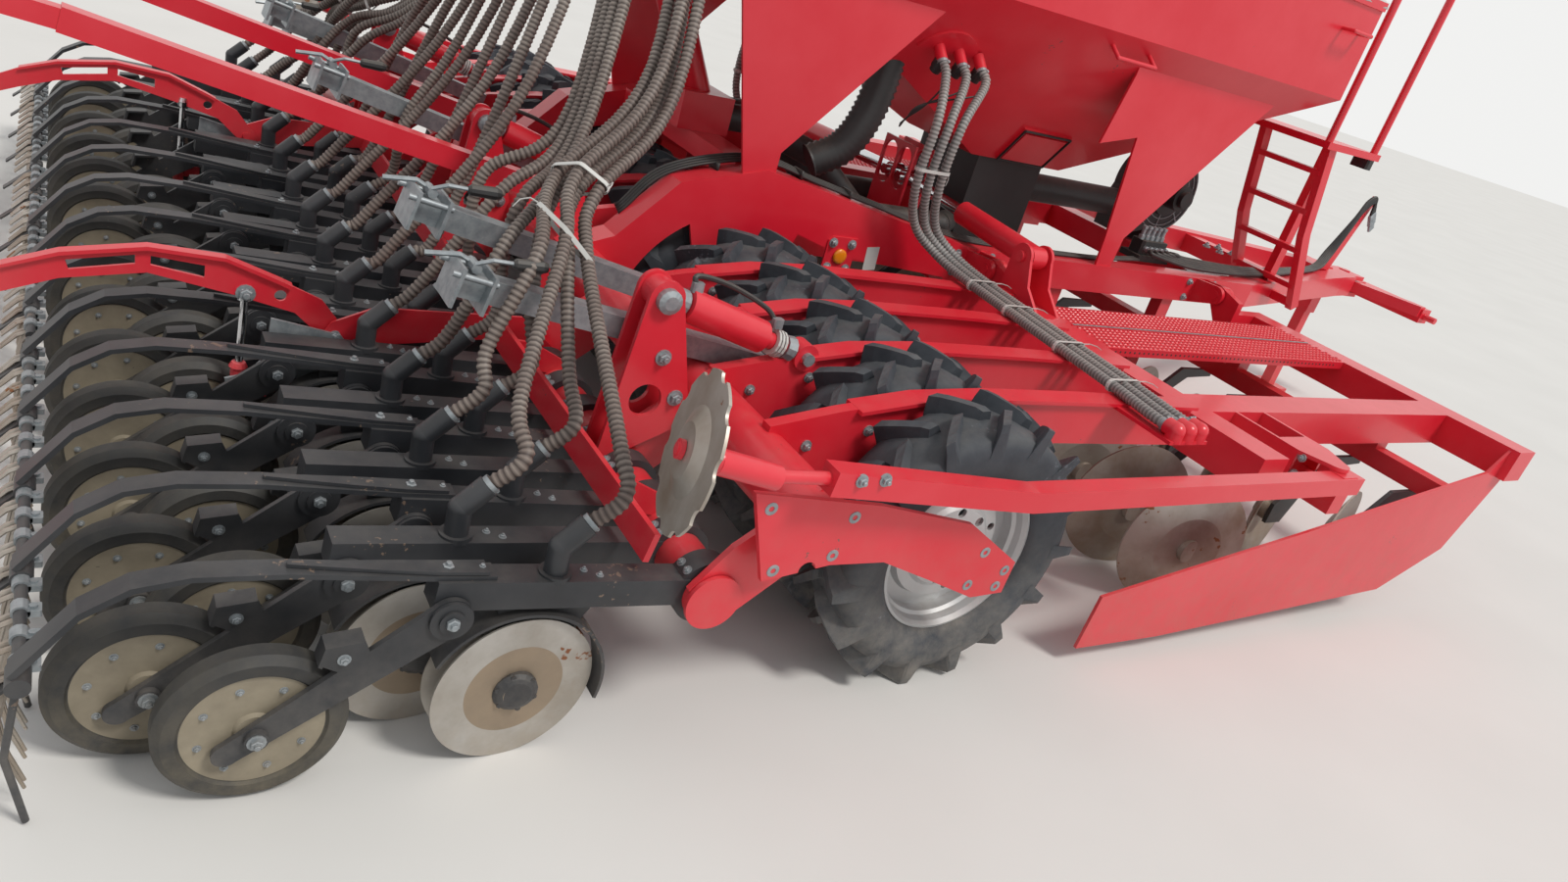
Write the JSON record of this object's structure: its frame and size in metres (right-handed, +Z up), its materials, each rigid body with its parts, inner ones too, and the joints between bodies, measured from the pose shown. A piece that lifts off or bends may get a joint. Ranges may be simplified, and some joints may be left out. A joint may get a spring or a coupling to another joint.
{
  "type": "trailed seed drill",
  "caption": "Trailed seed drill with a long hopper, tyre packer, disc harrow, coulter rail with press wheels and two wings that fold up.",
  "frame": {"origin": "centre of the footprint's bounding box on the ground", "axes": "+X forward along the direction of travel, +Y to the machine's left, +Z up"},
  "size_m": [7.82, 4.466, 2.36],
  "materials": {
    "red_paint": "gloss",
    "black_paint": "satin",
    "grey_paint": "satin",
    "worn_steel": "worn",
    "rod_chrome": "polished",
    "tyre_rubber": "dusty",
    "press_rubber": "dusty",
    "black_plastic": "matte",
    "zinc_steel": "satin",
    "hose_plastic": "matte",
    "cover_cloth": "coated cloth"
  },
  "bodies": {
    "frame": {"main_frame": "red_paint", "drawbar": "red_paint", "hopper": "red_paint", "hopper_cover": "cover_cloth", "platform": "red_paint", "fan": "black_plastic", "metering_unit": "black_plastic", "seed_tower": "red_paint", "lamp_carriers": "red_paint", "harrow_arms_centre": "black_paint", "harrow_discs_centre": "worn_steel", "coulters_centre": "black_paint", "openers_centre": "worn_steel", "brackets_centre": "zinc_steel", "seed_hoses_centre": "hose_plastic"},
    "wing_right": {"wing_frame_right": "red_paint", "harrow_arms_right": "black_paint", "harrow_discs_right": "worn_steel", "coulters_right": "black_paint", "openers_right": "worn_steel", "brackets_right": "zinc_steel", "seed_hoses_right": "hose_plastic", "side_hoses_right": "hose_plastic"},
    "wing_left": {"wing_frame_left": "red_paint", "harrow_arms_left": "black_paint", "harrow_discs_left": "worn_steel", "coulters_left": "black_paint", "openers_left": "worn_steel", "brackets_left": "zinc_steel", "seed_hoses_left": "hose_plastic", "side_hoses_left": "hose_plastic"},
    "packer_right": {"tyres_right": "tyre_rubber", "rims_right": "grey_paint"},
    "press_front_right": {"press_front_right": "press_rubber"},
    "press_rear_right": {"press_rear_right": "press_rubber"},
    "packer_centre": {"tyres_centre": "tyre_rubber", "rims_centre": "grey_paint"},
    "press_front_centre": {"press_front_centre": "press_rubber"},
    "press_rear_centre": {"press_rear_centre": "press_rubber"},
    "packer_left": {"tyres_left": "tyre_rubber", "rims_left": "grey_paint"},
    "press_front_left": {"press_front_left": "press_rubber"},
    "press_rear_left": {"press_rear_left": "press_rubber"},
    "marker_right": {"marker_arm_right": "red_paint"},
    "marker_wheel_right": {"marker_disc_right": "worn_steel"},
    "sickle_right": {"sickle_right": "red_paint"},
    "barrel_right": {"fold_barrel_right": "red_paint"},
    "rod_right": {"fold_rod_right": "rod_chrome"},
    "marker_left": {"marker_arm_left": "red_paint"},
    "marker_wheel_left": {"marker_disc_left": "worn_steel"},
    "sickle_left": {"sickle_left": "red_paint"},
    "barrel_left": {"fold_barrel_left": "red_paint"},
    "rod_left": {"fold_rod_left": "rod_chrome"},
    "hitch": {"hitch": "red_paint"},
    "stand": {"stand": "red_paint"},
    "flap": {"flap": "red_paint"}
  },
  "joints": [
    {"name": "fold_wing_right", "type": "hinge", "parent": "frame", "child": "wing_right", "pos_m": [0.192, -0.68, 0.74], "axis": [-1, 0, 0], "range_deg": [0, 90], "deforming": ["seed_hoses_right", "side_hoses_right"]},
    {"name": "fold_barrel_right", "type": "hinge", "parent": "wing_right", "child": "barrel_right", "pos_m": [0.19, -0.85, 0.856], "axis": [1, 0, 0], "range_deg": [0, 90]},
    {"name": "fold_rod_right", "type": "slide", "parent": "barrel_right", "child": "rod_right", "axis": [0, 0.9991, 0.0425], "range_m": [-0.2873, 0]},
    {"name": "marker_swing_right", "type": "hinge", "parent": "wing_right", "child": "marker_right", "pos_m": [0.45, -2.04, 0.66], "axis": [0, 0, 1], "range_deg": [0, 90]},
    {"name": "marker_disc_spin_right", "type": "hinge", "parent": "marker_right", "child": "marker_wheel_right", "pos_m": [-1.785, -2.08, 0.793], "axis": [-0.9494, 0.2722, 0.1564], "continuous": true},
    {"name": "sickle_drop_right", "type": "hinge", "parent": "wing_right", "child": "sickle_right", "pos_m": [-2.125, -0.862, 0.443], "axis": [0, -1, 0], "range_deg": [0, 12]},
    {"name": "fold_wing_left", "type": "hinge", "parent": "frame", "child": "wing_left", "pos_m": [0.192, 0.68, 0.74], "axis": [1, 0, 0], "range_deg": [0, 90], "deforming": ["seed_hoses_left", "side_hoses_left"]},
    {"name": "fold_barrel_left", "type": "hinge", "parent": "wing_left", "child": "barrel_left", "pos_m": [0.19, 0.85, 0.856], "axis": [-1, 0, 0], "range_deg": [0, 90]},
    {"name": "fold_rod_left", "type": "slide", "parent": "barrel_left", "child": "rod_left", "axis": [0, -0.9991, 0.0425], "range_m": [-0.2873, 0]},
    {"name": "marker_swing_left", "type": "hinge", "parent": "wing_left", "child": "marker_left", "pos_m": [0.45, 2.04, 0.66], "axis": [0, 0, -1], "range_deg": [0, 90]},
    {"name": "marker_disc_spin_left", "type": "hinge", "parent": "marker_left", "child": "marker_wheel_left", "pos_m": [-1.785, 2.08, 0.793], "axis": [-0.9494, -0.2722, 0.1564], "continuous": true},
    {"name": "sickle_drop_left", "type": "hinge", "parent": "wing_left", "child": "sickle_left", "pos_m": [-2.125, 0.862, 0.443], "axis": [0, -1, 0], "range_deg": [0, 12]},
    {"name": "packer_roll_right", "type": "hinge", "parent": "wing_right", "child": "packer_right", "pos_m": [-0.83, 0, 0.39], "axis": [0, 1, 0], "continuous": true},
    {"name": "press_front_roll_right", "type": "hinge", "parent": "wing_right", "child": "press_front_right", "pos_m": [-2.422, 0, 0.16], "axis": [0, 1, 0], "continuous": true},
    {"name": "press_rear_roll_right", "type": "hinge", "parent": "wing_right", "child": "press_rear_right", "pos_m": [-2.577, 0, 0.16], "axis": [0, 1, 0], "continuous": true},
    {"name": "packer_roll_centre", "type": "hinge", "parent": "frame", "child": "packer_centre", "pos_m": [-0.83, 0, 0.39], "axis": [0, 1, 0], "continuous": true},
    {"name": "press_front_roll_centre", "type": "hinge", "parent": "frame", "child": "press_front_centre", "pos_m": [-2.422, 0, 0.16], "axis": [0, 1, 0], "continuous": true},
    {"name": "press_rear_roll_centre", "type": "hinge", "parent": "frame", "child": "press_rear_centre", "pos_m": [-2.577, 0, 0.16], "axis": [0, 1, 0], "continuous": true},
    {"name": "packer_roll_left", "type": "hinge", "parent": "wing_left", "child": "packer_left", "pos_m": [-0.83, 0, 0.39], "axis": [0, 1, 0], "continuous": true},
    {"name": "press_front_roll_left", "type": "hinge", "parent": "wing_left", "child": "press_front_left", "pos_m": [-2.422, 0, 0.16], "axis": [0, 1, 0], "continuous": true},
    {"name": "press_rear_roll_left", "type": "hinge", "parent": "wing_left", "child": "press_rear_left", "pos_m": [-2.577, 0, 0.16], "axis": [0, 1, 0], "continuous": true},
    {"name": "hitch_swivel", "type": "hinge", "parent": "frame", "child": "hitch", "pos_m": [3.65, 0, 0.7], "axis": [0, 0, 1], "range_deg": [-40, 40]},
    {"name": "stand_lift", "type": "slide", "parent": "frame", "child": "stand", "axis": [0, 0, 1], "range_m": [0, 0.4]},
    {"name": "flap_open", "type": "hinge", "parent": "frame", "child": "flap", "pos_m": [0.575, -0.3269, 1.1924], "axis": [-1, 0, 0], "range_deg": [0, 75]}
  ],
  "couplings": [
    {"joint": "fold_barrel_right", "follows": "fold_wing_right", "ratio": 1},
    {"joint": "fold_rod_right", "follows": "fold_wing_right", "m_per_rad": -0.18229},
    {"joint": "fold_barrel_left", "follows": "fold_wing_left", "ratio": 1},
    {"joint": "fold_rod_left", "follows": "fold_wing_left", "m_per_rad": -0.18229}
  ]
}
